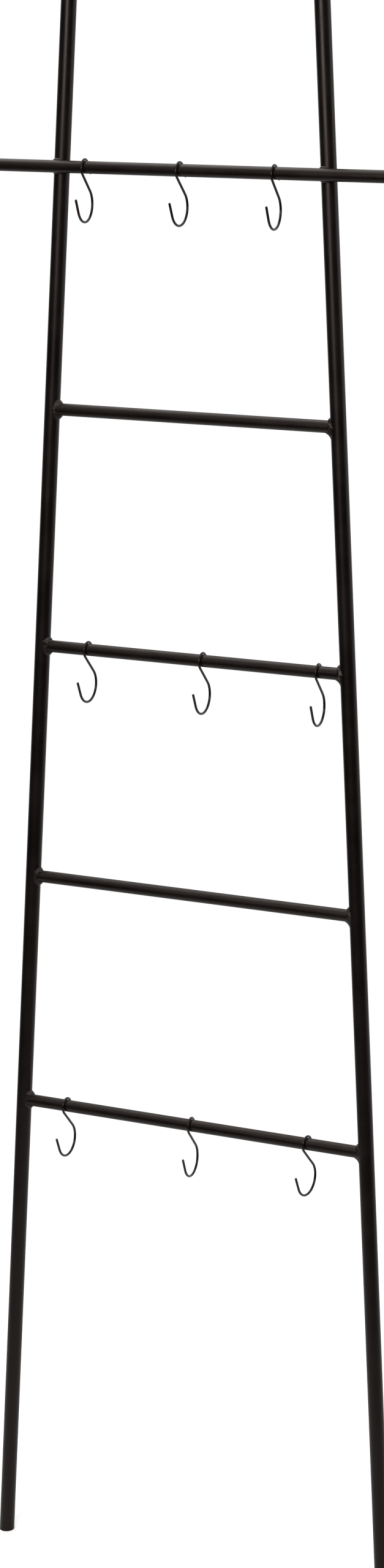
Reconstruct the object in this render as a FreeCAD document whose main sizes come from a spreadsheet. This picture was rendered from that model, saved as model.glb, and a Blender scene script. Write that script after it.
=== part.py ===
import FreeCAD
import Part
import math
import os

import Sketcher
from FreeCAD import Placement, Rotation, Vector

# Leaning blanket ladder of welded steel tube, with loose wire S-hooks.
# Millimetres and degrees. X runs along the rungs, Y towards the wall, Z up.
# The origin is on the floor, half way between the feet and the point below the rail tops.
#
# The frame is drawn upright in the ladder's own plane, with its zero at the soles, and each
# finished piece is then tipped back by the lean. The hooks hang plumb, so they are drawn about
# the tube that carries them and placed on its axis.

# name, value, what it is
SIZES = [
    ("rail_diameter", 19.0, "outside diameter of the two side rails"),
    ("rail_wall", 1.5, "wall of the rail tube"),
    ("rung_diameter", 15.0, "outside diameter of the rungs and of the clothes bar"),
    ("rung_wall", 1.2, "wall of the rung tube"),
    ("rung_count", 4, "rungs below the clothes bar"),
    ("rung_pitch", 292.0, "from one rung to the next, along the rails' plane"),
    ("leg_height", 584.0, "from the soles up to the lowest rung, along the rails' plane"),
    ("rail_above_bar", 248.0, "rail that stands above the clothes bar"),
    ("spacing_low", 480.0, "between the rail centres at the lowest rung"),
    ("spacing_bar", 356.0, "between the rail centres at the clothes bar"),
    ("bar_length", 640.0, "clothes bar over its two caps"),
    ("lean_angle", 3.0, "lean of the ladder towards the wall"),
    ("weld_radius", 4.5, "fillet weld round each rung end"),
    ("bead_length", 13.0, "weld bead between bar and rail, along the bar"),
    ("bead_depth", 5.2, "thickness of that bead"),
    ("bead_rise", 7.0, "bead centre above or below the bar's axis"),
    ("bead_forward", 1.5, "bead centre in front of the rail's face"),
    ("cap_flange", 2.0, "flange of every plastic plug"),
    ("cap_spigot", 16.0, "depth of a plug inside its tube"),
    ("cap_fit", 0.05, "clearance between a plug's spigot and the bore"),
    ("cap_rounding", 0.8, "rounded rim of a plug"),
    ("wire_diameter", 3.0, "hook wire"),
    ("wire_rounding", 0.5, "rounded end of the wire"),
    ("hook_seat", 0.3, "clearance between wire and tube at the top of the loop"),
    ("hook_side", 1.0, "clearance between wire and tube at the sides of the loop"),
    ("hook_tail", 15.0, "straight leg behind the tube"),
    ("hook_tail_flare", 28.0, "how far that leg spreads from the vertical, in degrees"),
    ("hook_drop", 43.5, "centre of the lower loop below the tube's axis"),
    ("hook_forward", 2.5, "centre of the lower loop in front of the tube's axis"),
    ("hook_bend", 21.0, "radius of the lower loop, to the middle of the wire"),
    ("hook_tip", 17.2, "straight leg that ends in the front tip"),
    ("hook_tip_flare", 22.0, "how far that leg spreads from the vertical, in degrees"),
]

# The hooks: the tube that carries each one, its place name, its place along the tube and its
# twist about the vertical.
BAR = "bar"
HOOKS = [
    (BAR, "left", -137.0, -5.5),
    (BAR, "middle", -9.0, -2.0),
    (BAR, "right", 116.0, -6.5),
    ("rung_3", "left", -145.0, -1.5),
    ("rung_3", "middle", 14.0, -3.0),
    ("rung_3", "right", 170.0, -6.5),
    ("rung_1", "left", -178.0, -1.0),
    ("rung_1", "middle", -0.5, -6.0),
    ("rung_1", "right", 160.0, 3.5),
]

# name, kind of property, formula
DERIVED = [
    ("rail_radius", "Float", "Sizes.rail_diameter / 2"),
    ("rung_radius", "Float", "Sizes.rung_diameter / 2"),
    ("bar_height", "Float", "Sizes.leg_height + Sizes.rung_count * Sizes.rung_pitch"),
    ("ladder_length", "Float", "bar_height + Sizes.rail_above_bar"),
    ("bar_forward", "Float", "rail_radius + rung_radius"),
    ("taper", "Angle", "atan((Sizes.spacing_low - Sizes.spacing_bar) / 2"
                       " / (Sizes.rung_count * Sizes.rung_pitch))"),
    ("half_spacing_sole", "Float", "Sizes.spacing_low / 2 + Sizes.leg_height * tan(taper)"),
    ("rail_run", "Float", "ladder_length / cos(taper)"),
    ("foot_back", "Float", "-ladder_length * sin(Sizes.lean_angle) / 2"),
    ("loop_radius", "Float", "rung_radius + Sizes.hook_side + Sizes.wire_diameter / 2"),
    ("loop_drop", "Float", "Sizes.hook_side - Sizes.hook_seat"),
    ("tail_rise", "Float", "Sizes.hook_tail * cos(Sizes.hook_tail_flare)"),
    ("tail_spread", "Float", "Sizes.hook_tail * sin(Sizes.hook_tail_flare)"),
    ("tail_back", "Float", "loop_radius * cos(Sizes.hook_tail_flare) + tail_spread"),
    ("tail_level", "Float", "loop_radius * sin(Sizes.hook_tail_flare) - loop_drop - tail_rise"),
    ("tip_rise", "Float", "Sizes.hook_tip * cos(Sizes.hook_tip_flare)"),
    ("tip_spread", "Float", "Sizes.hook_tip * sin(Sizes.hook_tip_flare)"),
    ("tip_forward", "Float", "Sizes.hook_forward + Sizes.hook_bend * cos(Sizes.hook_tip_flare) + tip_spread"),
    ("tip_level", "Float", "tip_rise - Sizes.hook_drop - Sizes.hook_bend * sin(Sizes.hook_tip_flare)"),
]

SIDES = {"left": -1, "right": 1}
ENDS = {"upper": 1, "lower": -1}
ACROSS = Rotation(Vector(0, 1, 0), 90)
NEAR = 1e-3
XY_PLANE = "XY_Plane"
YZ_PLANE = "YZ_Plane"

doc = FreeCAD.newDocument("blanket_ladder")
nodes = []


def make_sheet():
    """Put the driving dimensions into a spreadsheet, one alias a row."""
    sheet = doc.addObject("Spreadsheet::Sheet", "Sizes")
    rows = list(SIZES)
    for tube, place, along, twist in HOOKS:
        rows.append((f"hook_{tube}_{place}_along", along, "place of the hook along its tube"))
        rows.append((f"hook_{tube}_{place}_twist", twist, "twist of the hook about the vertical"))
    for row, (alias, value, note) in enumerate(rows, start=1):
        sheet.set(f"A{row}", alias)
        sheet.set(f"B{row}", str(value))
        sheet.set(f"C{row}", note)
        sheet.setAlias(f"B{row}", alias)
    doc.recompute()
    return sheet


def make_derived():
    """Work out the sizes that follow from the driving ones."""
    derived = doc.addObject("App::VarSet", "Derived")
    for name, kind, formula in DERIVED:
        derived.addProperty(f"App::Property{kind}", name, "Derived", formula)
        derived.setExpression(name, formula)
    doc.recompute()
    return derived


sizes = make_sheet()
derived = make_derived()


def bind(thing, **formulas):
    """Bind properties to formulas; a double underscore in a name stands for a dot."""
    for name, formula in formulas.items():
        thing.setExpression(name.replace("__", "."), formula)
    return thing


def cylinder(name, radius, height):
    """A solid cylinder whose size follows two formulas."""
    return bind(doc.addObject("Part::Cylinder", name), Radius=radius, Height=height)


def combine(kind, name, base, tool):
    """A Part boolean of two objects."""
    result = doc.addObject(f"Part::{kind}", name)
    result.Base = base
    result.Tool = tool
    return result


def keep(thing, label):
    """Name a finished piece and put it on the list of those that are written."""
    thing.Label = label
    nodes.append(thing)
    return thing


def keep_leaning(thing, label):
    """Tip a piece of the frame back by the ladder's lean and keep it."""
    thing.Placement = Placement(Vector(), Rotation(Vector(-1, 0, 0), sizes.lean_angle))
    bind(thing, Placement__Rotation__Angle="Sizes.lean_angle", Placement__Base__y="Derived.foot_back")
    return keep(thing, label)


def along_rail(thing, side, distance):
    """Stand a piece on the axis of one rail, at a distance up from its sole."""
    sign = SIDES[side]
    thing.Placement = Placement(Vector(), Rotation(Vector(0, -sign, 0), derived.taper))
    return bind(
        thing,
        Placement__Rotation__Angle="Derived.taper",
        Placement__Base__x=f"{sign} * (Derived.half_spacing_sole - ({distance}) * sin(Derived.taper))",
        Placement__Base__z=f"({distance}) * cos(Derived.taper)",
    )


def level_slab(name, bottom, top):
    """A block between two levels above the floor, wide enough for both feet."""
    width = "2 * (Derived.half_spacing_sole + Sizes.rail_diameter)"
    depth = "4 * Sizes.rail_diameter"
    slab = bind(doc.addObject("Part::Box", name), Length=width, Width=depth, Height=f"{top} - ({bottom})")
    slab.Placement = Placement(Vector(), Rotation(Vector(1, 0, 0), sizes.lean_angle))
    return bind(
        slab,
        Placement__Rotation__Angle="Sizes.lean_angle",
        Placement__Base__x=f"-({width}) / 2",
        Placement__Base__y=f"-({depth}) / 2 * cos(Sizes.lean_angle) - ({bottom}) * sin(Sizes.lean_angle)",
        Placement__Base__z=f"-({depth}) / 2 * sin(Sizes.lean_angle) + ({bottom}) * cos(Sizes.lean_angle)",
    )


def rung_height(number):
    """Height of a rung above the soles, in the ladder's plane."""
    return f"(Sizes.leg_height + {number - 1} * Sizes.rung_pitch)"


def edges_where(thing, wanted):
    """Numbers of the edges whose middle point passes a test."""
    numbers = []
    for number, edge in enumerate(thing.Shape.Edges, start=1):
        middle = edge.valueAt((edge.FirstParameter + edge.LastParameter) / 2)
        if wanted(edge, middle):
            numbers.append(number)
    return numbers


def round_edges(name, base, numbers, radius):
    """A Part fillet of one radius on numbered edges."""
    fillet = doc.addObject("Part::Fillet", name)
    fillet.Base = base
    fillet.Edges = [(number, radius, radius) for number in numbers]
    return fillet


def make_rail_core(side):
    """The outer cylinder of a rail, from below the floor up to its cap."""
    start = "-2 * Sizes.rail_diameter"
    length = f"Derived.rail_run - Sizes.cap_flange - ({start})"
    core = cylinder(f"rail_core_{side}", "Derived.rail_radius", length)
    return along_rail(core, side, start)


def make_rail(side, core, floor_block):
    """A side rail: a tube cut level at the sole and square at the top."""
    start = "-3 * Sizes.rail_diameter"
    bore = cylinder(f"rail_bore_{side}", "Derived.rail_radius - Sizes.rail_wall", "Derived.rail_run * 2")
    along_rail(bore, side, start)
    tube = combine("Cut", f"rail_tube_{side}", core, bore)
    keep_leaning(combine("Cut", f"rail_{side}", tube, floor_block), f"{side}_rail")


def make_foot(side, core, flange_slab, spigot_slab):
    """The plastic plug that a rail stands on, its sole cut level."""
    flange = combine("Common", f"foot_flange_{side}", core, flange_slab)
    spigot_core = cylinder(
        f"foot_core_{side}",
        "Derived.rail_radius - Sizes.rail_wall - Sizes.cap_fit",
        "Sizes.cap_flange + Sizes.cap_spigot + Sizes.rail_diameter",
    )
    along_rail(spigot_core, side, "0")
    spigot = combine("Common", f"foot_spigot_{side}", spigot_core, spigot_slab)
    plug = combine("Fuse", f"foot_plug_{side}", flange, spigot)
    doc.recompute()
    sole = edges_where(
        plug,
        lambda edge, middle: abs(level_of(middle)) < NEAR and edge.Length > sizes.rail_diameter,
    )
    keep_leaning(round_edges(f"foot_{side}", plug, sole, sizes.cap_rounding), f"foot_{side}")


def level_of(point):
    """Height above the floor of a point of the upright ladder once it leans."""
    lean = math.radians(sizes.lean_angle)
    return point.z * math.cos(lean) - point.y * math.sin(lean)


def make_plug(name, tube_radius, wall):
    """A round plug: flange from its zero upwards, spigot below. Returns the fused plug."""
    flange = cylinder(f"{name}_flange", tube_radius, "Sizes.cap_flange")
    spigot = cylinder(f"{name}_spigot", f"{tube_radius} - {wall} - Sizes.cap_fit", "Sizes.cap_spigot")
    bind(spigot, Placement__Base__z="-Sizes.cap_spigot")
    plug = combine("Fuse", f"{name}_plug", flange, spigot)
    doc.recompute()
    rim = edges_where(plug, lambda edge, middle: abs(middle.z - sizes.cap_flange) < NEAR)
    return round_edges(name, plug, rim, sizes.cap_rounding)


def make_rail_cap(side):
    """The plug in the top of a rail, square to the rail."""
    cap = make_plug(f"rail_cap_shape_{side}", "Derived.rail_radius", "Sizes.rail_wall")
    along_rail(cap, side, "Derived.rail_run - Sizes.cap_flange")
    holder = doc.addObject("Part::Compound", f"rail_cap_{side}")
    holder.Links = [cap]
    keep_leaning(holder, f"rail_cap_{side}")


def lay_across(thing, start, forward, height):
    """Lay a piece along X from a start, in front of the rails' plane by some distance."""
    thing.Placement = Placement(Vector(), ACROSS)
    return bind(
        thing,
        Placement__Base__x=start,
        Placement__Base__y=f"-({forward})",
        Placement__Base__z=height,
    )


def make_bar():
    """The clothes bar in front of the rails. Returns its outer cylinder."""
    length = "Sizes.bar_length - 2 * Sizes.cap_flange"
    core = cylinder("bar_core", "Derived.rung_radius", length)
    bore = cylinder("bar_bore", "Derived.rung_radius - Sizes.rung_wall", length)
    for tube in (core, bore):
        lay_across(tube, f"-({length}) / 2", "Derived.bar_forward", "Derived.bar_height")
    keep_leaning(combine("Cut", "bar_tube", core, bore), "clothes_bar")
    return core


def make_bar_cap(side):
    """The plug in one end of the clothes bar."""
    sign = SIDES[side]
    cap = make_plug(f"bar_cap_shape_{side}", "Derived.rung_radius", "Sizes.rung_wall")
    start = f"{sign} * (Sizes.bar_length / 2 - Sizes.cap_flange)"
    lay_across(cap, start, "Derived.bar_forward", "Derived.bar_height")
    cap.Placement = Placement(cap.Placement.Base, Rotation(Vector(0, sign, 0), 90))
    holder = doc.addObject("Part::Compound", f"bar_cap_{side}")
    holder.Links = [cap]
    keep_leaning(holder, f"bar_cap_{side}")


def make_rung(number, rail_cores):
    """A rung, coped at both ends to the rails. Returns its outer cylinder."""
    height = rung_height(number)
    half = f"(Derived.half_spacing_sole - {height} * tan(Derived.taper))"
    core = cylinder(f"rung_core_{number}", "Derived.rung_radius", f"2 * {half}")
    bore = cylinder(f"rung_bore_{number}", "Derived.rung_radius - Sizes.rung_wall", f"2 * {half}")
    for tube in (core, bore):
        lay_across(tube, f"-{half}", "0", height)
    tube = combine("Cut", f"rung_tube_{number}", core, bore)
    for side, rail_core in rail_cores.items():
        tube = combine("Cut", f"rung_coped_{number}_{side}", tube, rail_core)
    keep_leaning(tube, f"rung_{number}")
    return core


def distance_to_axis(point, core):
    """Distance of a point from the axis of a cylinder object."""
    axis = core.Placement.Rotation.multVec(Vector(0, 0, 1))
    return (point - core.Placement.Base).cross(axis).Length


def make_rung_weld(number, side, rung_core, rail_core):
    """The fillet weld round one end of a rung, as a ring of its own."""
    joint = combine("Fuse", f"joint_{number}_{side}", rail_core, rung_core)
    doc.recompute()
    seam = edges_where(
        joint,
        lambda edge, middle: abs(distance_to_axis(middle, rail_core) - derived.rail_radius) < NEAR
        and abs(distance_to_axis(middle, rung_core) - derived.rung_radius) < NEAR,
    )
    filled = round_edges(f"filled_{number}_{side}", joint, seam, sizes.weld_radius)
    keep_leaning(combine("Cut", f"weld_{number}_{side}", filled, joint), f"weld_rung_{number}_{side}")


def make_bar_bead(side, end, rail_core, bar_core):
    """One of the two weld beads between the clothes bar and a rail."""
    sign = ENDS[end]
    height = f"(Derived.bar_height + {sign} * Sizes.bead_rise)"
    bead = doc.addObject("Part::Ellipsoid", f"bead_shape_{side}_{end}")
    bind(
        bead,
        Radius1="Sizes.bead_depth / 2",
        Radius2="Sizes.bead_length / 2",
        Radius3="Sizes.bead_depth / 2",
        Placement__Base__x=f"{SIDES[side]} * (Derived.half_spacing_sole - {height} * tan(Derived.taper))",
        Placement__Base__y="-Derived.rail_radius - Sizes.bead_forward",
        Placement__Base__z=height,
    )
    seated = combine("Cut", f"bead_on_rail_{side}_{end}", bead, rail_core)
    keep_leaning(combine("Cut", f"bead_{side}_{end}", seated, bar_core), f"bead_bar_{end}_{side}")


def origin_plane(body, role):
    """One of a body's own origin planes."""
    return next(plane for plane in body.Origin.OriginFeatures if plane.Role == role)


def add_sketch(body, name, role):
    """A sketch on one of the body's origin planes."""
    sketch = body.newObject("Sketcher::SketchObject", name)
    sketch.AttachmentSupport = [(origin_plane(body, role), "")]
    sketch.MapMode = "FlatFace"
    return sketch


def measure(sketch, measures):
    """Add a sketch's measured constraints, each bound to its formula."""
    for label, form, formula in measures:
        value = float(derived.evalExpression(formula))
        number = sketch.addConstraint(Sketcher.Constraint(*form, value))
        sketch.renameConstraint(number, label)
        sketch.setExpression(f"Constraints.{label}", formula)
    return sketch


def hook_geometry():
    """Leg, loop, shank, bend and leg of a hook, in the plane Y (back) by Z (up)."""
    loop = Vector(0, -derived.loop_drop, 0)
    bend = Vector(-sizes.hook_forward, -sizes.hook_drop, 0)
    gap = bend - loop
    turn = math.acos((derived.loop_radius + sizes.hook_bend) / gap.Length)
    leave = math.atan2(gap.y, gap.x) - turn + 2 * math.pi
    tail_angle = math.radians(sizes.hook_tail_flare)
    tip_angle = math.radians(sizes.hook_tip_flare) + math.pi
    outward = Vector(math.cos(leave), math.sin(leave), 0)
    tail_top = loop + Vector(math.cos(tail_angle), math.sin(tail_angle), 0) * derived.loop_radius
    tip_foot = bend + Vector(math.cos(tip_angle), math.sin(tip_angle), 0) * sizes.hook_bend
    up = Vector(0, 0, 1)
    return [
        Part.LineSegment(Vector(derived.tail_back, derived.tail_level, 0), tail_top),
        Part.ArcOfCircle(Part.Circle(loop, up, derived.loop_radius), tail_angle, leave),
        Part.LineSegment(loop + outward * derived.loop_radius, bend - outward * sizes.hook_bend),
        Part.ArcOfCircle(Part.Circle(bend, up, sizes.hook_bend), tip_angle, leave + math.pi),
        Part.LineSegment(tip_foot, Vector(-derived.tip_forward, derived.tip_level, 0)),
    ]


def draw_hook_path(body, name):
    """The middle line of the wire, every size of it bound to the sheet."""
    sketch = add_sketch(body, f"{name}_path", YZ_PLANE)
    tail, loop, shank, bend, tip = range(5)
    start, end, centre = 1, 2, 3
    origin, vertical_axis = -1, -2
    sketch.addGeometry(hook_geometry(), False)
    sketch.addConstraint([
        Sketcher.Constraint("Tangent", tail, end, loop, start),
        Sketcher.Constraint("Tangent", loop, end, shank, start),
        Sketcher.Constraint("Tangent", shank, end, bend, end),
        Sketcher.Constraint("Tangent", bend, start, tip, start),
        Sketcher.Constraint("PointOnObject", loop, centre, vertical_axis),
    ])
    measures = [
        ("loop_radius", ("Radius", loop), "Derived.loop_radius"),
        ("bend_radius", ("Radius", bend), "Sizes.hook_bend"),
        ("loop_drop", ("DistanceY", loop, centre, origin, start), "Derived.loop_drop"),
        ("bend_drop", ("DistanceY", bend, centre, origin, start), "Sizes.hook_drop"),
        ("bend_forward", ("DistanceX", bend, centre, origin, start), "Sizes.hook_forward"),
        ("tail_rise", ("DistanceY", tail, start, tail, end), "Derived.tail_rise"),
        ("tail_spread", ("DistanceX", tail, end, tail, start), "Derived.tail_spread"),
        ("tip_rise", ("DistanceY", tip, start, tip, end), "Derived.tip_rise"),
        ("tip_spread", ("DistanceX", tip, end, tip, start), "Derived.tip_spread"),
    ]
    return measure(sketch, measures)


def draw_wire_section(body, name):
    """The wire's round section, square to the foot of the tail."""
    sketch = add_sketch(body, f"{name}_section", XY_PLANE)
    foot = Vector(0, derived.tail_back, derived.tail_level)
    sketch.AttachmentOffset = Placement(foot, Rotation(Vector(1, 0, 0), sizes.hook_tail_flare))
    bind(
        sketch,
        AttachmentOffset__Base__y="Derived.tail_back",
        AttachmentOffset__Base__z="Derived.tail_level",
        AttachmentOffset__Rotation__Angle="Sizes.hook_tail_flare",
    )
    sketch.addGeometry(Part.Circle(Vector(), Vector(0, 0, 1), sizes.wire_diameter / 2), False)
    sketch.addConstraint(Sketcher.Constraint("Coincident", 0, 3, -1, 1))
    return measure(sketch, [("wire_radius", ("Radius", 0), "Sizes.wire_diameter / 2")])


def wire_ends():
    """The middle of the wire at the foot of its tail and at its front tip."""
    return [
        Vector(0, derived.tail_back, derived.tail_level),
        Vector(0, -derived.tip_forward, derived.tip_level),
    ]


def round_wire_ends(body, wire, name):
    """Round the two cut ends of the wire."""
    numbers = edges_where(
        wire,
        lambda edge, middle: any((edge.CenterOfMass - end).Length < NEAR for end in wire_ends()),
    )
    rounding = body.newObject("PartDesign::Fillet", f"{name}_rounding")
    rounding.Base = (wire, [f"Edge{number}" for number in numbers])
    bind(rounding, Radius="Sizes.wire_rounding")


def make_hook(tube, place):
    """One S-hook, drawn about the axis of the tube that it hangs on."""
    name = f"hook_{tube}_{place}"
    body = doc.addObject("PartDesign::Body", name)
    path = draw_hook_path(body, name)
    section = draw_wire_section(body, name)
    wire = body.newObject("PartDesign::AdditivePipe", f"{name}_wire")
    wire.Profile = section
    wire.Spine = (path, [])
    doc.recompute()
    round_wire_ends(body, wire, name)
    doc.recompute()
    hang(body, tube, place)
    keep(body, name)


def hang(body, tube, place):
    """Put a hook on its tube, twisted, with its weight straight below the tube's axis."""
    balance = body.Shape.Solids[0].CenterOfMass
    swing = -math.degrees(math.atan2(balance.y, -balance.z))
    twist = sizes.getPropertyByName(f"hook_{tube}_{place}_twist")
    body.Placement = Placement(Vector(), Rotation(-twist, 0, swing))
    if tube == BAR:
        forward, height = "Derived.bar_forward", "Derived.bar_height"
    else:
        forward, height = "0", rung_height(int(tube.split("_")[1]))
    lean = "Sizes.lean_angle"
    bind(
        body,
        Placement__Base__x=f"Sizes.hook_{tube}_{place}_along",
        Placement__Base__y=f"Derived.foot_back + {height} * sin({lean}) - {forward} * cos({lean})",
        Placement__Base__z=f"{height} * cos({lean}) + {forward} * sin({lean})",
    )


def make_frame():
    """Rails, rungs, bar, welds and plugs, which are one welded frame."""
    floor_block = level_slab("floor_block", "-4 * Sizes.rail_diameter", "Sizes.cap_flange")
    flange_slab = level_slab("flange_slab", "0", "Sizes.cap_flange")
    spigot_slab = level_slab("spigot_slab", "Sizes.cap_flange", "(Sizes.cap_flange + Sizes.cap_spigot)")
    rail_cores = {side: make_rail_core(side) for side in SIDES}
    bar_core = make_bar()
    for side, rail_core in rail_cores.items():
        make_rail(side, rail_core, floor_block)
        make_foot(side, rail_core, flange_slab, spigot_slab)
        make_rail_cap(side)
        make_bar_cap(side)
        for end in ENDS:
            make_bar_bead(side, end, rail_core, bar_core)
    for number in range(1, int(sizes.rung_count) + 1):
        rung_core = make_rung(number, rail_cores)
        for side, rail_core in rail_cores.items():
            make_rung_weld(number, side, rung_core, rail_core)


def check_document():
    """Stop unless every object came out and every kept piece is a sound solid."""
    for thing in doc.Objects:
        if any(word in thing.State for word in ("Invalid", "Error")):
            raise RuntimeError(f"{thing.Name} failed: {thing.State}")
    for node in nodes:
        shape = node.Shape
        if shape.isNull() or not shape.isValid() or not shape.Solids:
            raise RuntimeError(f"{node.Label} has no sound solid")


def write_parts():
    """Write each kept piece to a file of its own."""
    os.makedirs("parts", exist_ok=True)
    for node in nodes:
        node.Shape.exportStep(os.path.join("parts", f"{node.Label}.step"))
        print(f"{node.Label}: {len(node.Shape.Solids)} solid, {node.Shape.Volume:.1f} mm3")


make_frame()
for hook_tube, hook_place, _, _ in HOOKS:
    make_hook(hook_tube, hook_place)
doc.recompute()
check_document()
write_parts()
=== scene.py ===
"""Looks of a leaning blanket ladder: black coated steel tube, welds, plugs and wire S-hooks.

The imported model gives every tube, plug and hook its shape. This script dresses them, models the
welds with their lumps and ripples, and sets up the floor, the lamps and the camera.
Lengths are metres. Stored angles are degrees, unless a line says radians, and turns in the sums
are radians.
"""

from __future__ import annotations

import logging
import math
from dataclasses import dataclass
from enum import Enum
from typing import Union

import bmesh
import bpy
from mathutils import Matrix, Vector, noise

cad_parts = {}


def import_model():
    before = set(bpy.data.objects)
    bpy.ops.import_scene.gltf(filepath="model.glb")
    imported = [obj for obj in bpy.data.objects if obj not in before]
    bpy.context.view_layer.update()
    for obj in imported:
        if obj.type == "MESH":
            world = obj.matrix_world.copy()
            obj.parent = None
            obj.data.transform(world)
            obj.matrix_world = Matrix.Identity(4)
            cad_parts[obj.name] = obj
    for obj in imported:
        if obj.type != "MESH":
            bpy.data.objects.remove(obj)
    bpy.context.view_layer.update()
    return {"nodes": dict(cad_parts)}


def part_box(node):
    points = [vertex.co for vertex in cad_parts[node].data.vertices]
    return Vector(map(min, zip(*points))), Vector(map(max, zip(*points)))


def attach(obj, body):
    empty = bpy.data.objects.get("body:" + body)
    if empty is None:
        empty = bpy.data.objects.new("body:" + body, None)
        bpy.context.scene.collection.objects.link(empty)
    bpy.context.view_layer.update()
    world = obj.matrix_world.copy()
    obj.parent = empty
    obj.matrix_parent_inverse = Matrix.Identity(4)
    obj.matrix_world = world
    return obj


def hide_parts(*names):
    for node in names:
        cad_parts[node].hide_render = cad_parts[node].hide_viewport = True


LOG = logging.getLogger("blanket_ladder")

# Rows of pixels in the photograph's whole frame.
IMAGE_HEIGHT = 2560

Colour = tuple[float, float, float, float]
Band = tuple[float, float]
Socket = bpy.types.NodeSocket
Feed = Union[Socket, float, Colour]

WHITE: Colour = (1.0, 1.0, 1.0, 1.0)


class Side(Enum):
    """The two sides of the ladder, as a viewer in front of it sees them."""

    LEFT = "left"
    RIGHT = "right"

    @property
    def sign(self) -> int:
        """Direction of the side along X."""
        return -1 if self is Side.LEFT else 1


class Place(Enum):
    """Where a hook hangs along its tube."""

    LEFT = "left"
    MIDDLE = "middle"
    RIGHT = "right"


class Lamp(Enum):
    """The lamps of the studio."""

    FRONT = "front_softbox"
    SIDE = "side_strip"
    TOP = "top_panel"


@dataclass(frozen=True)
class LadderSizes:
    """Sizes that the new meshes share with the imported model.

    Attributes:
        rail_radius: Radius of the side rails.
        rung_radius: Radius of the rungs and of the clothes bar.
        rung_count: Rungs below the clothes bar.
        rung_pitch: From one rung to the next, along the ladder.
        leg_height: From the soles to the lowest rung, along the ladder.
        length: From the soles to the rail tops, along the ladder.
        half_low: Half the spacing of the rails at the lowest rung.
        half_bar: Half the spacing of the rails at the clothes bar.
        lean: Lean towards the wall.
    """

    rail_radius: float = 0.0095
    rung_radius: float = 0.0075
    rung_count: int = 4
    rung_pitch: float = 0.292
    leg_height: float = 0.584
    length: float = 2.0
    half_low: float = 0.240
    half_bar: float = 0.178
    lean: float = 3.0

    def rung_names(self) -> list[str]:
        """Names of the rungs, lowest first."""
        return [f"rung_{number}" for number in range(1, self.rung_count + 1)]

    def rung_height(self, number: int) -> float:
        """Height of a rung up the ladder; the clothes bar follows the last rung."""
        return self.leg_height + (number - 1) * self.rung_pitch

    @property
    def closing(self) -> float:
        """How far each rail moves inwards per metre of height."""
        return (self.half_low - self.half_bar) / (self.rung_count * self.rung_pitch)

    def half_gap(self, height: float) -> float:
        """From the ladder's middle to a rail's axis, at a height up the ladder."""
        return self.half_low - (height - self.leg_height) * self.closing

    def to_room(self) -> Matrix:
        """Turns a place on the upright ladder into its place on the leaning one.

        Returns:
            The matrix, which also sets the middle of the ladder's depth at the origin.
        """
        turn = math.radians(self.lean)
        back = Matrix.Translation((0.0, -self.length * math.sin(turn) / 2, 0.0))
        return back @ Matrix.Rotation(-turn, 4, "X")


# ---------------------------------------------------------------- shader helpers


class Wiring:
    """A node tree with short ways to add and join nodes."""

    def __init__(self, tree: bpy.types.NodeTree) -> None:
        """Keep the node tree to build in."""
        self.tree = tree

    def add(self, kind: str, **settings: object) -> bpy.types.Node:
        """Add a node.

        Args:
            kind: The node's type, such as ShaderNodeMath.
            settings: Properties to set on it.

        Returns:
            The new node.
        """
        node = self.tree.nodes.new(kind)
        for name, value in settings.items():
            setattr(node, name, value)
        return node

    def join(self, source: Socket, target: Socket) -> None:
        """Join an output to an input."""
        self.tree.links.new(source, target)

    def feed(self, target: Socket, value: Feed) -> None:
        """Join a socket to an input, or set the input to a plain value.

        Args:
            target: The input socket.
            value: An output socket, a number or a colour.
        """
        if isinstance(value, Socket):
            self.join(value, target)
        else:
            target.default_value = value

    def math(self, operation: str, first: Feed, second: Feed = 0.0) -> Socket:
        """Add a Math node.

        Args:
            operation: The Math node's operation.
            first: First value or socket.
            second: Second value or socket.

        Returns:
            The result socket.
        """
        node = self.add("ShaderNodeMath", operation=operation)
        self.feed(node.inputs[0], first)
        self.feed(node.inputs[1], second)
        return node.outputs[0]

    def noise(self, position: Socket, scale: Feed, detail: float, roughness: float = 0.5) -> Socket:
        """Add a noise texture.

        Args:
            position: The position socket.
            scale: Waves per metre.
            detail: Octaves.
            roughness: Weight of the finer octaves.

        Returns:
            The noise value, about 0.2 to 0.8.
        """
        node = self.add("ShaderNodeTexNoise")
        self.join(position, node.inputs["Vector"])
        self.feed(node.inputs["Scale"], scale)
        node.inputs["Detail"].default_value = detail
        node.inputs["Roughness"].default_value = roughness
        return node.outputs["Fac"]

    def range(
        self,
        value: Feed,
        low: float,
        high: float,
        out_low: Feed = 0.0,
        out_high: Feed = 1.0,
    ) -> Socket:
        """Map a value smoothly from one range to another.

        Args:
            value: The socket to map.
            low: Start of the range read.
            high: End of the range read.
            out_low: Value or socket at the start.
            out_high: Value or socket at the end.

        Returns:
            The mapped socket.
        """
        node = self.add("ShaderNodeMapRange", interpolation_type="SMOOTHSTEP")
        self.feed(node.inputs["Value"], value)
        node.inputs["From Min"].default_value = low
        node.inputs["From Max"].default_value = high
        self.feed(node.inputs["To Min"], out_low)
        self.feed(node.inputs["To Max"], out_high)
        return node.outputs["Result"]

    def blend(self, mask: Feed, first: Feed, second: Feed) -> Socket:
        """Mix two colours by a mask.

        Args:
            mask: 0 for the first, 1 for the second.
            first: Colour or socket.
            second: Colour or socket.

        Returns:
            The mixed colour.
        """
        node = self.add("ShaderNodeMix", data_type="RGBA")
        self.feed(node.inputs["Factor"], mask)
        self.feed(node.inputs["A"], first)
        self.feed(node.inputs["B"], second)
        return node.outputs["Result"]


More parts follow.
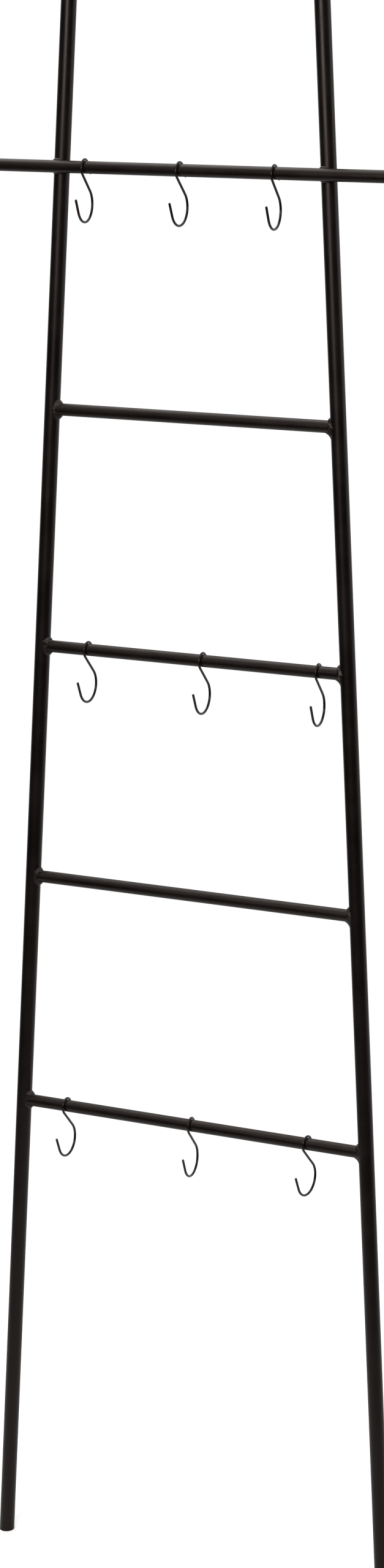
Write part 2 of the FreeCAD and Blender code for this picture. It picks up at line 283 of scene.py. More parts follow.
def group_sockets(tree: bpy.types.NodeTree, inputs: dict[str, float], outputs: list[str]) -> None:
    """Give a node group a Position input and its other named sockets.

    Args:
        tree: The group's tree.
        inputs: Names and defaults of the number inputs.
        outputs: Names of the number outputs.
    """
    tree.interface.new_socket("Position", in_out="INPUT", socket_type="NodeSocketVector")
    for name, value in inputs.items():
        socket = tree.interface.new_socket(name, in_out="INPUT", socket_type="NodeSocketFloat")
        socket.default_value = value
    for name in outputs:
        tree.interface.new_socket(name, in_out="OUTPUT", socket_type="NodeSocketFloat")


@dataclass(frozen=True)
class CoatSkin:
    """Skin of a sprayed or moulded surface: orange peel, fine grit and slow mottling.

    Attributes:
        peel_scale: Orange peel where a finish doesn't set it, in waves per metre.
        grit_scale: Fine grit where a finish doesn't set it, in waves per metre.
        grit_share: Height of the grit against the peel where a finish doesn't set it.
        mottle_scale: Mottling, in waves per metre.
        mottle_band: Noise values between which the mottling goes from none to full.
    """

    peel_scale: float = 420.0
    grit_scale: float = 2600.0
    grit_share: float = 0.35
    mottle_scale: float = 18.0
    mottle_band: Band = (0.3, 0.7)

    def build(self) -> bpy.types.NodeTree:
        """Build the node group.

        Returns:
            The group, with outputs Height and Mottle.
        """
        tree = bpy.data.node_groups.new("coat_skin", "ShaderNodeTree")
        inputs = {
            "Peel Scale": self.peel_scale,
            "Grit Scale": self.grit_scale,
            "Grit Share": self.grit_share,
            "Mottle Scale": self.mottle_scale,
        }
        group_sockets(tree, inputs, ["Height", "Mottle"])
        wires = Wiring(tree)
        given = wires.add("NodeGroupInput").outputs
        result = wires.add("NodeGroupOutput").inputs
        peel = wires.noise(given["Position"], given["Peel Scale"], detail=1.5)
        grit = wires.noise(given["Position"], given["Grit Scale"], detail=2.0, roughness=0.6)
        fine = wires.math("MULTIPLY", grit, given["Grit Share"])
        wires.join(wires.math("ADD", peel, fine), result["Height"])
        mottle = wires.noise(given["Position"], given["Mottle Scale"], detail=4.0, roughness=0.6)
        wires.join(wires.range(mottle, *self.mottle_band), result["Mottle"])
        return tree


@dataclass(frozen=True)
class DustAndTopSheen:
    """Fine dust where a surface looks upwards, and a painted top highlight that lightens the tops
    as an overhead light would.

    Attributes:
        patch_scale: Patches of the dust and painted highlight, in waves per metre.
        amount: Amount of dust and painted highlight where a finish doesn't set it.
        upward_band: How much the surface looks up where dust and painted highlight start, and where
            they are full.
        patch_band: Noise values between which they go from thin to full.
        thin: Share of them that lies between the patches.
    """

    patch_scale: float = 60.0
    amount: float = 0.3
    upward_band: Band = (0.35, 1.0)
    patch_band: Band = (0.35, 0.7)
    thin: float = 0.35

    def build(self) -> bpy.types.NodeTree:
        """Build the node group.

        Returns:
            The group, with the output Mask.
        """
        tree = bpy.data.node_groups.new("dust_and_top_sheen", "ShaderNodeTree")
        group_sockets(tree, {"Patch Scale": self.patch_scale, "Amount": self.amount}, ["Mask"])
        wires = Wiring(tree)
        given = wires.add("NodeGroupInput").outputs
        result = wires.add("NodeGroupOutput").inputs
        normal = wires.add("ShaderNodeNewGeometry").outputs["Normal"]
        split = wires.add("ShaderNodeSeparateXYZ")
        wires.join(normal, split.inputs[0])
        # Painted highlight, partly real dust: faces that look up get the pale colour.
        upward = wires.range(split.outputs["Z"], *self.upward_band)
        patchy = wires.noise(given["Position"], given["Patch Scale"], detail=5.0, roughness=0.65)
        patches = wires.range(patchy, *self.patch_band, out_low=self.thin)
        upward_patches = wires.math("MULTIPLY", upward, patches)
        wires.join(wires.math("MULTIPLY", upward_patches, given["Amount"]), result["Mask"])
        return tree


class NodeGroups:
    """The shader groups that the finishes share, each built once."""

    def __init__(self) -> None:
        """Build the groups."""
        self.coat = CoatSkin().build()
        self.dust_and_sheen = DustAndTopSheen().build()


@dataclass(frozen=True)
class Rub:
    """A place where a loose wire has rubbed a tube that runs along X.

    Attributes:
        along: The wire's place along X.
        axis_height: Height of the tube's axis.
        half_width: Half the width of the mark along the tube.
        crown_band: Height over the axis where the mark starts, and where it is full.
    """

    along: float
    axis_height: float
    half_width: float = 0.0026
    crown_band: Band = (0.003, 0.007)

    def ring(self, wires: Wiring, split: bpy.types.Node) -> Socket:
        """The mark over the tube's crown, before the grain breaks it up.

        Args:
            wires: The material's tree.
            split: The node that splits the position.

        Returns:
            The mask, 0 to 1.
        """
        offset = wires.math("SUBTRACT", split.outputs["X"], self.along)
        off_wire = wires.math("ABSOLUTE", offset)
        near = wires.range(off_wire, 0.0, self.half_width, out_low=1.0, out_high=0.0)
        over_axis = wires.math("SUBTRACT", split.outputs["Z"], self.axis_height)
        return wires.math("MULTIPLY", near, wires.range(over_axis, *self.crown_band))


@dataclass(frozen=True)
class RubMarks:
    """The marks that loose wires have left on one tube.

    Attributes:
        rubs: The places.
        colour: Colour of the rubbed coat.
        share: How far a full mark turns the coat to that colour.
        polish: Roughness that a full mark takes away.
        grain_scale: Grain that breaks the marks up, in waves per metre.
        grain_band: Noise values between which the grain goes from none to full.
    """

    rubs: tuple[Rub, ...]
    colour: Colour = (0.05, 0.047, 0.045, 1.0)
    share: float = 0.5
    polish: float = 0.12
    grain_scale: float = 1500.0
    grain_band: Band = (0.4, 0.62)

    def mask(self, wires: Wiring, position: Socket) -> Socket:
        """A mask of broken rings where the wires have rubbed.

        Args:
            wires: The material's tree.
            position: The position socket.

        Returns:
            The mask, 0 to 1.
        """
        split = wires.add("ShaderNodeSeparateXYZ")
        wires.join(position, split.inputs[0])
        mask: Feed = 0.0
        for rub in self.rubs:
            mask = wires.math("MAXIMUM", mask, rub.ring(wires, split))
        grain = wires.noise(position, self.grain_scale, detail=3.0, roughness=0.6)
        return wires.math("MULTIPLY", mask, wires.range(grain, *self.grain_band))


@dataclass(frozen=True)
class CoatFinish:
    """A black coat: powder on steel, or a moulded plastic skin.

    Attributes:
        name: Name of the finish.
        deep: Colour of the coat.
        mottled: Colour that slow mottling leans to.
        dust_and_sheen_colour: Colour of settled dust.
        roughness: Least roughness.
        roughness_spread: Roughness that the mottling adds.
        specular: Level of the plain reflection.
        peel_scale: Orange peel, in waves per metre.
        grit_scale: Fine grit, in waves per metre.
        grit_share: Height of the grit against the peel.
        bump: Height of the skin.
        dust_and_sheen: Amount of dust and painted top highlight.
        dust_roughness: Roughness that full dust adds.
        sheen_tint: Warm tint of the plain reflection.
    """

    name: str
    deep: Colour
    mottled: Colour
    dust_and_sheen_colour: Colour
    roughness: float
    roughness_spread: float
    specular: float
    peel_scale: float
    grit_scale: float
    grit_share: float
    bump: float
    dust_and_sheen: float
    dust_roughness: float = 0.25
    sheen_tint: Colour = (1.0, 0.82, 0.77, 1.0)

    def build(
        self,
        groups: NodeGroups,
        label: str = "",
        marks: RubMarks | None = None,
    ) -> bpy.types.Material:
        """Build the material.

        Args:
            groups: The shared shader groups.
            label: Added to the finish's name.
            marks: Marks left by loose wires, if there are any.

        Returns:
            The material.
        """
        material = bpy.data.materials.new(self.name + label)
        material.use_nodes = True
        wires = Wiring(material.node_tree)
        shader = material.node_tree.nodes["Principled BSDF"]
        position = wires.add("ShaderNodeTexCoord").outputs["Object"]
        skin = self.place_group(wires, groups.coat, position)
        skin.inputs["Peel Scale"].default_value = self.peel_scale
        skin.inputs["Grit Scale"].default_value = self.grit_scale
        skin.inputs["Grit Share"].default_value = self.grit_share
        dust_and_sheen = self.place_group(wires, groups.dust_and_sheen, position)
        dust_and_sheen.inputs["Amount"].default_value = self.dust_and_sheen
        mottle, dust_and_sheen_mask = skin.outputs["Mottle"], dust_and_sheen.outputs["Mask"]
        colour = wires.blend(mottle, self.deep, self.mottled)
        # Painted highlight and dust: upward faces turn to the pale dust colour, lighter as overhead
        # light would make them.
        colour = wires.blend(dust_and_sheen_mask, colour, self.dust_and_sheen_colour)
        roughest = self.roughness + self.roughness_spread
        roughness = wires.range(mottle, 0.0, 1.0, self.roughness, roughest)
        dulled = wires.math("MULTIPLY", dust_and_sheen_mask, self.dust_roughness)
        roughness = wires.math("ADD", roughness, dulled)
        if marks is not None:
            worn = marks.mask(wires, position)
            colour = wires.blend(wires.math("MULTIPLY", worn, marks.share), colour, marks.colour)
            polished = wires.math("MULTIPLY", worn, marks.polish)
            roughness = wires.math("SUBTRACT", roughness, polished)
        bump = wires.add("ShaderNodeBump")
        bump.inputs["Strength"].default_value = 1.0
        bump.inputs["Distance"].default_value = self.bump
        wires.join(skin.outputs["Height"], bump.inputs["Height"])
        wires.join(colour, shader.inputs["Base Color"])
        wires.join(roughness, shader.inputs["Roughness"])
        wires.join(bump.outputs["Normal"], shader.inputs["Normal"])
        shader.inputs["Specular IOR Level"].default_value = self.specular
        shader.inputs["Specular Tint"].default_value = self.sheen_tint
        return material

    def place_group(
        self,
        wires: Wiring,
        tree: bpy.types.NodeTree,
        position: Socket,
    ) -> bpy.types.Node:
        """Place a shared group in the material, reading the position.

        Args:
            wires: The material's tree.
            tree: The group.
            position: The position socket.

        Returns:
            The group's node.
        """
        node = wires.add("ShaderNodeGroup", node_tree=tree)
        wires.join(position, node.inputs["Position"])
        return node


TUBE_COAT = CoatFinish(
    name="tube_powder_coat",
    deep=(0.0026, 0.0017, 0.0014, 1.0),
    mottled=(0.0046, 0.0032, 0.0027, 1.0),
    dust_and_sheen_colour=(0.042, 0.035, 0.032, 1.0),
    roughness=0.33,
    roughness_spread=0.07,
    specular=0.18,
    peel_scale=420.0,
    grit_scale=2600.0,
    grit_share=0.3,
    bump=0.00006,
    dust_and_sheen=0.35,
)

WELD_COAT = CoatFinish(
    name="weld_powder_coat",
    deep=(0.0026, 0.0019, 0.0017, 1.0),
    mottled=(0.0072, 0.0057, 0.0052, 1.0),
    # Painted highlight and dust: this pale colour lightens the welds' upward facets.
    dust_and_sheen_colour=(0.110, 0.096, 0.090, 1.0),
    roughness=0.34,
    roughness_spread=0.12,
    specular=0.20,
    peel_scale=900.0,
    grit_scale=3200.0,
    grit_share=0.5,
    bump=0.00012,
    dust_and_sheen=0.75,
)

HOOK_COAT = CoatFinish(
    name="hook_wire_coat",
    deep=(0.0042, 0.0031, 0.0028, 1.0),
    mottled=(0.0074, 0.0058, 0.0053, 1.0),
    dust_and_sheen_colour=(0.050, 0.042, 0.039, 1.0),
    roughness=0.20,
    roughness_spread=0.07,
    specular=0.22,
    peel_scale=900.0,
    grit_scale=4200.0,
    grit_share=0.3,
    bump=0.00003,
    dust_and_sheen=0.15,
)

PLUG_PLASTIC = CoatFinish(
    name="plug_plastic",
    deep=(0.0016, 0.0011, 0.0010, 1.0),
    mottled=(0.0034, 0.0025, 0.0023, 1.0),
    dust_and_sheen_colour=(0.050, 0.043, 0.040, 1.0),
    roughness=0.50,
    roughness_spread=0.10,
    specular=0.16,
    peel_scale=1500.0,
    grit_scale=5200.0,
    grit_share=0.8,
    bump=0.00004,
    dust_and_sheen=0.10,
)


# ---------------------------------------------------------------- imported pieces


def dress(nodes: dict[str, bpy.types.Object], name: str, material: bpy.types.Material) -> None:
    """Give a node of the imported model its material.

    Args:
        nodes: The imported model's objects by name.
        name: The node.
        material: Its new material.
    """
    slots = nodes[name].material_slots
    if not slots:
        nodes[name].data.materials.append(material)
    for slot in slots:
        slot.material = material
    LOG.info("dressed %s in %s", name, material.name)


@dataclass(frozen=True)
class Hooks:
    """The loose S-hooks.

    Attributes:
        tubes: What the hooks' names call each tube that carries hooks, and the tube's node.
    """

    tubes: tuple[tuple[str, str], ...] = (
        ("bar", "clothes_bar"),
        ("rung_3", "rung_3"),
        ("rung_1", "rung_1"),
    )

    def dress(self, nodes: dict[str, bpy.types.Object], groups: NodeGroups) -> None:
        """Dress every hook.

        Args:
            nodes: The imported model's objects.
            groups: The shared shader groups.
        """
        material = HOOK_COAT.build(groups)
        for tube, _ in self.tubes:
            for place in Place:
                dress(nodes, self.node_name(tube, place), material)

    def node_name(self, tube: str, place: Place) -> str:
        """Name of a hook's node."""
        return f"hook_{tube}_{place.value}"

    def along(self, tube: str, place: Place) -> float:
        """Where a hook hangs along X."""
        low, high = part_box(self.node_name(tube, place))
        return ((low + high) / 2).x

    def marks(self, node: str) -> RubMarks | None:
        """What the hooks have rubbed on one tube.

        Args:
            node: Name of the tube's node.

        Returns:
            A mark for each hook on it, or None if it carries no hooks.
        """
        for tube, carrier in self.tubes:
            if carrier == node:
                low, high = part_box(carrier)
                axis_height = ((low + high) / 2).z
                return RubMarks(tuple(Rub(self.along(tube, place), axis_height) for place in Place))
        return None


@dataclass(frozen=True)
class Tubes:
    """Rails, rungs and clothes bar.

    Attributes:
        sizes: The shared sizes.
        seam_width: Points of a tube's mesh that are closer than this are one point.
    """

    sizes: LadderSizes
    seam_width: float = 0.00001

    def dress(
        self,
        nodes: dict[str, bpy.types.Object],
        groups: NodeGroups,
        hooks: Hooks,
    ) -> None:
        """Dress the tubes, with rub marks under the hooks.

        Args:
            nodes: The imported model's objects.
            groups: The shared shader groups.
            hooks: The hooks, which know where they rub.
        """
        plain = TUBE_COAT.build(groups)
        for name in ["left_rail", "right_rail", "clothes_bar", *self.sizes.rung_names()]:
            marks = hooks.marks(name)
            material = TUBE_COAT.build(groups, f"_{name}", marks) if marks else plain
            dress(nodes, name, material)
            self.close_seam(nodes[name])

    def close_seam(self, tube: bpy.types.Object) -> None:
        """Close a tube's lengthwise seam, which would otherwise catch the light as a thin line.

        Args:
            tube: The tube.
        """
        closed = tube.modifiers.new("closed_seam", "WELD")
        closed.merge_threshold = self.seam_width
        even = tube.modifiers.new("even_shading", "WEIGHTED_NORMAL")
        even.mode = "FACE_AREA_WITH_ANGLE"
        even.keep_sharp = True


@dataclass(frozen=True)
class Plugs:
    """The plastic plugs in the open tube ends.

    Attributes:
        kinds: What the plugs' names begin with.
    """

    kinds: tuple[str, ...] = ("foot", "rail_cap", "bar_cap")

    def dress(self, nodes: dict[str, bpy.types.Object], groups: NodeGroups) -> None:
        """Dress every plug.

        Args:
            nodes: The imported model's objects.
            groups: The shared shader groups.
        """
        material = PLUG_PLASTIC.build(groups)
        for kind in self.kinds:
            for side in Side:
                dress(nodes, f"{kind}_{side.value}", material)


# ---------------------------------------------------------------- welds


# Height of a weld's ripples, and the mean level of their wave.
RIPPLE_HEIGHT = 0.00022
RIPPLE_LEVEL = 0.6


def ripple_wave(phase: float) -> float:
    """A ripple's rise over its mean level, in ripple heights: round crests, sharp troughs."""
    return abs(math.sin(phase)) - RIPPLE_LEVEL


@dataclass(frozen=True)
class WeldForm:
    """How one weld ring swells.

    Attributes:
        above: Reach of the weld over the rung, along the rung and along the rail.
        below: The same under the rung.
        front: The same in front of the rung and behind it.
        crown: Rise over the straight line from toe to toe, in front and behind.
        hollow: Sink under that line below the rung.
        pool_turn: Where the weld started and pooled, in degrees from the back upwards.
        pool_spread: How far round the pool goes, in degrees.
        pool_reach: What the pool adds to the reach.
        pool_swell: What the pool adds to the rise.
        seed: Picks the lumps of this weld.
    """

    above: float
    below: float
    front: float
    crown: float
    hollow: float
    pool_turn: float
    pool_spread: float
    pool_reach: float
    pool_swell: float
    seed: float

    def pool(self, turn: float) -> float:
        """How much of the pool is at a turn round the rung: 0 to 1."""
        off = math.remainder(turn - math.radians(self.pool_turn), math.tau)
        return math.exp(-((off / math.radians(self.pool_spread)) ** 2))


WELD_FORMS: dict[tuple[int, Side], WeldForm] = {
    (1, Side.LEFT): WeldForm(
        above=0.0052, below=0.0046, front=0.0022, crown=0.0006, hollow=0.0004,
        pool_turn=124.0, pool_spread=32.0, pool_reach=0.0024, pool_swell=0.0002, seed=3.7,
    ),
    (2, Side.LEFT): WeldForm(
        above=0.0044, below=0.0050, front=0.0023, crown=0.0007, hollow=0.0003,
        pool_turn=140.0, pool_spread=30.0, pool_reach=0.0018, pool_swell=0.0007, seed=9.1,
    ),
    (3, Side.LEFT): WeldForm(
        above=0.0044, below=0.0048, front=0.0023, crown=0.0008, hollow=0.0002,
        pool_turn=150.0, pool_spread=38.0, pool_reach=0.0034, pool_swell=0.0010, seed=5.4,
    ),
    (4, Side.LEFT): WeldForm(
        above=0.0042, below=0.0058, front=0.0024, crown=0.0007, hollow=0.0002,
        pool_turn=118.0, pool_spread=30.0, pool_reach=0.0016, pool_swell=0.0003, seed=1.6,
    ),
    (1, Side.RIGHT): WeldForm(
        above=0.0038, below=0.0080, front=0.0024, crown=0.0005, hollow=0.0020,
        pool_turn=150.0, pool_spread=30.0, pool_reach=0.0010, pool_swell=0.0003, seed=7.9,
    ),
    (2, Side.RIGHT): WeldForm(
        above=0.0044, below=0.0080, front=0.0024, crown=0.0006, hollow=0.0019,
        pool_turn=165.0, pool_spread=26.0, pool_reach=0.0018, pool_swell=0.0006, seed=2.8,
    ),
    (3, Side.RIGHT): WeldForm(
        above=0.0044, below=0.0078, front=0.0026, crown=0.0008, hollow=0.0018,
        pool_turn=170.0, pool_spread=34.0, pool_reach=0.0024, pool_swell=0.0008, seed=6.2,
    ),
    (4, Side.RIGHT): WeldForm(
        above=0.0042, below=0.0086, front=0.0024, crown=0.0007, hollow=0.0021,
        pool_turn=180.0, pool_spread=30.0, pool_reach=0.0018, pool_swell=0.0006, seed=4.9,
    ),
}


@dataclass(frozen=True)
class RungWeld:
    """The weld ring round a rung's end.

    Attributes:
        sizes: The shared sizes.
        side: Side of the ladder.
        height: Height of the rung up the ladder.
        form: How the ring swells.
        around: Steps round the ring.
        across: Steps from the rung to the rail.
        buried: How far the toes lie under the tubes' skins.
        root_depth: How far the hidden root lies under them.
        pool_share: Shares of the pool's reach that go along the rung and along the rail.
        least_rise: The flattest that the ring gets between its toes, in front and behind.
        toe_wander: How far the toes wander.
        toe_waves: Slow and fine waves of the toes.
        toe_fine: Weight of the fine waves.
        toe_calm: How much less the toes wander below the rung.
        lump_height: How far the crown wanders.
        lump_waves: Waves of the crown.
        lump_change: How much the lumps change from the rung to the rail.
        ripples: Ripples round the ring.
        ripple_bend: How far a ripple curves, in radians.
        ripple_drift: How unevenly the ripples follow each other, in radians.
        face_calm: How much smoother the face is below the rung.
    """

    sizes: LadderSizes
    side: Side
    height: float
    form: WeldForm
    around: int = 288
    across: int = 14
    buried: float = 0.00025
    root_depth: float = 0.0008
    pool_share: tuple[float, float] = (1.3, 0.4)
    least_rise: float = 0.0004
    toe_wander: float = 0.0011
    toe_waves: tuple[float, float] = (1.3, 3.7)
    toe_fine: float = 0.5
    toe_calm: float = 0.6
    lump_height: float = 0.0014
    lump_waves: float = 1.9
    lump_change: float = 1.6
    ripples: int = 15
    ripple_bend: float = 1.1
    ripple_drift: float = 0.35
    face_calm: float = 0.7

    def build(self) -> bmesh.types.BMesh:
        """Spin the ring's section round the rung, then set every point in its place.

        Returns:
            The ring on the upright ladder.
        """
        shape = bmesh.new()
        share = shape.verts.layers.float.new("share")
        section = []
        for step in range(self.across + 1):
            vert = shape.verts.new((step / self.across, 1.0, 0.0))
            vert[share] = step / self.across
            section.append(vert)
        # The root closes the section inside the tubes.
        root = shape.verts.new((0.5, 0.5, 0.0))
        root[share] = -1.0
        section.append(root)
        edges = [shape.edges.new(pair) for pair in zip(section, section[1:] + section[:1])]
        bmesh.ops.spin(
            shape,
            geom=[*section, *edges],
            cent=(0.0, 0.0, 0.0),
            axis=(1.0, 0.0, 0.0),
            angle=math.tau,
            steps=self.around,
            use_merge=True,
        )
        for vert in shape.verts:
            turn = math.atan2(vert.co.z, vert.co.y)
            if vert[share] < 0.0:
                vert.co = self.on_seam(turn, self.root_depth)
            else:
                vert.co = self.on_face(turn, vert[share])
        return shape

    def on_seam(self, turn: float, depth: float) -> Vector:
        """Where the skins of rung and rail meet, or a point under it.

        Args:
            turn: Turn round the rung, from the back upwards.
            depth: How far under the skins.

        Returns:
            The point.
        """
        back = self.sizes.rung_radius * math.cos(turn)
        across = math.sqrt(self.sizes.rail_radius**2 - back**2) - depth
        inner = self.sizes.rung_radius - depth
        rise = self.height + inner * math.sin(turn)
        outer = self.side.sign * (self.sizes.half_gap(rise) - across)
        return Vector((outer, inner * math.cos(turn), rise))

    def on_face(self, turn: float, share: float) -> Vector:
        """A point on the ring's face.

        Args:
            turn: Turn round the rung, from the back upwards.
            share: 0 at the rung's toe and 1 at the rail's toe.

        Returns:
            The point.
        """
        reach = self.reach(turn)
        pooled = self.form.pool_reach * self.form.pool(turn)
        seam = self.on_seam(turn, 0.0)
        rung_toe = self.on_rung(seam, turn, reach + self.pool_share[0] * pooled)
        rail_toe = self.on_rail(seam, turn, reach + self.pool_share[1] * pooled)
        off_rung = Vector((0.0, math.cos(turn), math.sin(turn)))
        axis_x = self.side.sign * self.sizes.half_gap(seam.z)
        off_rail = Vector((seam.x - axis_x, seam.y, 0.0)).normalized()
        outward = (off_rung + off_rail).normalized()
        face = rung_toe.lerp(rail_toe, share)
        return face + outward * self.swell(turn, share) * math.sin(math.pi * share)

    def around_rung(self, turn: float) -> Vector:
        """Where a turn reads the noise: its own circle for each weld."""
        return Vector((math.cos(turn), math.sin(turn), self.form.seed))

    def reach(self, turn: float) -> float:
        """From the seam to either toe, without the pool.

        Args:
            turn: Turn round the rung, from the back upwards.

        Returns:
            The reach.
        """
        form, around = self.form, self.around_rung(turn)
        level = math.cos(turn) ** 2
        above = max(math.sin(turn), 0.0) ** 2
        below = max(-math.sin(turn), 0.0) ** 2
        slow, fine = self.toe_waves
        wander = noise.noise(around * slow) + self.toe_fine * noise.noise(around * fine)
        reach = form.front * level + form.above * above + form.below * below
        return reach + self.toe_wander * wander * (1.0 - self.toe_calm * below)

    def swell(self, turn: float, share: float) -> float:
        """Rise of the face's middle over the line from toe to toe.

        Args:
            turn: Turn round the rung, from the back upwards.
            share: 0 at the rung's toe and 1 at the rail's toe.

        Returns:
            The rise, which is less than nothing where the weld is hollow.
        """
        form, around = self.form, self.around_rung(turn)
        level = math.cos(turn) ** 2
        below = max(-math.sin(turn), 0.0) ** 2
        swell = form.crown * level - form.hollow * below + form.pool_swell * form.pool(turn)
        bend = self.ripple_bend * (2.0 * share - 1.0) ** 2
        drift = self.ripple_drift * math.sin(2.0 * turn + form.seed)
        ripple = ripple_wave(self.ripples / 2 * turn + bend + drift)
        change = Vector((0.0, 0.0, self.lump_change * share))
        lump = noise.noise(around * self.lump_waves + change)
        rough = RIPPLE_HEIGHT * ripple + self.lump_height * lump
        swell += rough * (1.0 - self.face_calm * below)
        return max(swell, self.least_rise - form.hollow * below)

    def on_rung(self, seam: Vector, turn: float, reach: float) -> Vector:
        """The toe on the rung.

        Args:
            seam: The seam's point.
            turn: Turn round the rung, from the back upwards.
            reach: From the seam to the toe.

        Returns:
            The toe, a little under the rung's skin.
        """
        toe = seam - Vector((self.side.sign * reach, 0.0, 0.0))
        toe.y -= self.buried * math.cos(turn)
        toe.z -= self.buried * math.sin(turn)
        return toe

    def on_rail(self, seam: Vector, turn: float, reach: float) -> Vector:
        """The toe on the rail, measured along the rail's skin from the seam.

        Args:
            seam: The seam's point.
            turn: Turn round the rung, from the back upwards.
            reach: From the seam to the toe.

        Returns:
            The toe, a little under the rail's skin.
        """
        start = math.asin(seam.y / self.sizes.rail_radius)
        wrap = start + reach * math.cos(turn) / self.sizes.rail_radius
        radius = self.sizes.rail_radius - self.buried
        rise = seam.z + reach * math.sin(turn)
        outer = self.side.sign * (self.sizes.half_gap(rise) - radius * math.cos(wrap))
        return Vector((outer, radius * math.sin(wrap), rise))


@dataclass(frozen=True)
class BarBead:
    """A short weld bead in the corner between the clothes bar and a rail.

    Attributes:
        sizes: The shared sizes.
        side: Side of the ladder.
        sign: 1 above the bar, -1 below it.
        half_length: Half the bead's length.
        half_depth: Half its depth.
        off_axis: Its middle above or below the bar's axis.
        forward: Its middle in front of the rail's face.
        around: Steps round the bead.
        along: Steps along it.
        ripples: Ripples along it.
        waves: Waves of its lumps.
        shift: Spreads the beads over the noise, so that no two have the same lumps.
    """

    sizes: LadderSizes
    side: Side
    sign: int
    half_length: float = 0.0065
    half_depth: float = 0.0026
    off_axis: float = 0.007
    forward: float = 0.0015
    around: int = 40
    along: int = 64
    ripples: float = 6.0
    waves: float = 1.5
    shift: float = 90.0

    def build(self) -> bmesh.types.BMesh:
        """Draw a ball out along X, with ripples and lumps.

        Returns:
            The bead on the upright ladder.
        """
        shape = bmesh.new()
        bmesh.ops.create_uvsphere(
            shape,
            u_segments=self.around,
            v_segments=self.along,
            radius=1.0,
        )
        bar_height = self.sizes.rung_height(self.sizes.rung_count + 1)
        height = bar_height + self.sign * self.off_axis
        outer = self.side.sign * self.sizes.half_gap(height)
        middle = Vector((outer, -self.sizes.rail_radius - self.forward, height))
        for vert in shape.verts:
            along, out = vert.co.z, Vector((0.0, vert.co.x, vert.co.y))
            ripple = ripple_wave(self.ripples * along * math.pi / 2 + out.y + height)
            wander = noise.noise(vert.co * self.waves + middle * self.shift)
            swell = self.half_depth + RIPPLE_HEIGHT * (ripple + wander) * out.length
            vert.co = middle + Vector((self.half_length * along, 0.0, 0.0)) + out * swell
        return shape


@dataclass(frozen=True)
class Welds:
    """The weld rings at the rung ends and the beads behind the clothes bar.

    Attributes:
        sizes: The shared sizes.
    """

    sizes: LadderSizes

    def build(self, groups: NodeGroups) -> None:
        """Build every weld in place of its plain node.

        Args:
            groups: The shared shader groups.
        """
        material = WELD_COAT.build(groups)
        for side in Side:
            for number, rung in enumerate(self.sizes.rung_names(), start=1):
                height = self.sizes.rung_height(number)
                ring = RungWeld(self.sizes, side, height, WELD_FORMS[number, side])
                self.place(ring.build(), f"weld_{rung}_{side.value}", material)
            for end, sign in (("upper", 1), ("lower", -1)):
                bead = BarBead(self.sizes, side, sign)
                self.place(bead.build(), f"bead_bar_{end}_{side.value}", material)

    def place(self, shape: bmesh.types.BMesh, name: str, material: bpy.types.Material) -> None:
        """Make a weld's mesh an object that stands for its plain node.

        Args:
            shape: The weld on the upright ladder.
            name: Name of the node.
            material: The weld's material.
        """
        bmesh.ops.transform(shape, matrix=self.sizes.to_room(), verts=shape.verts)
        bmesh.ops.recalc_face_normals(shape, faces=shape.faces)
        mesh = bpy.data.meshes.new(f"{name}_rippled")
        shape.to_mesh(mesh)
        shape.free()
        mesh.shade_smooth()
        mesh.materials.append(material)
        thing = bpy.data.objects.new(f"{name}_rippled", mesh)
        bpy.context.scene.collection.objects.link(thing)
        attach(thing, "frame")
        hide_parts(name)
        LOG.info("%s has %d faces", thing.name, len(mesh.polygons))


# ---------------------------------------------------------------- studio


@dataclass(frozen=True)
class SoftLamp:
    """An area lamp that looks at a point over the ladder's middle.

    Attributes:
        azimuth: Degrees from straight in front, towards the ladder's right.
        distance: From the ladder's middle, along the floor.
        height: Height of its middle.
        width: Width of the panel.
        tall: Height of the panel.
        power: Watts.
        aim: Height that it looks at.
    """

    azimuth: float
    distance: float
    height: float
    width: float
    tall: float
    power: float
    aim: float


LAMPS: dict[Lamp, SoftLamp] = {
    Lamp.FRONT: SoftLamp(
        azimuth=6.0, distance=2.6, height=2.4, width=1.3, tall=1.2, power=70.0, aim=2.2
    ),
    Lamp.SIDE: SoftLamp(
        azimuth=118.0, distance=2.6, height=1.9, width=0.5, tall=1.4, power=6.0, aim=1.7
    ),
    Lamp.TOP: SoftLamp(
        azimuth=247.0, distance=1.1, height=3.6, width=2.0, tall=2.0, power=40.0, aim=1.0
    ),
}


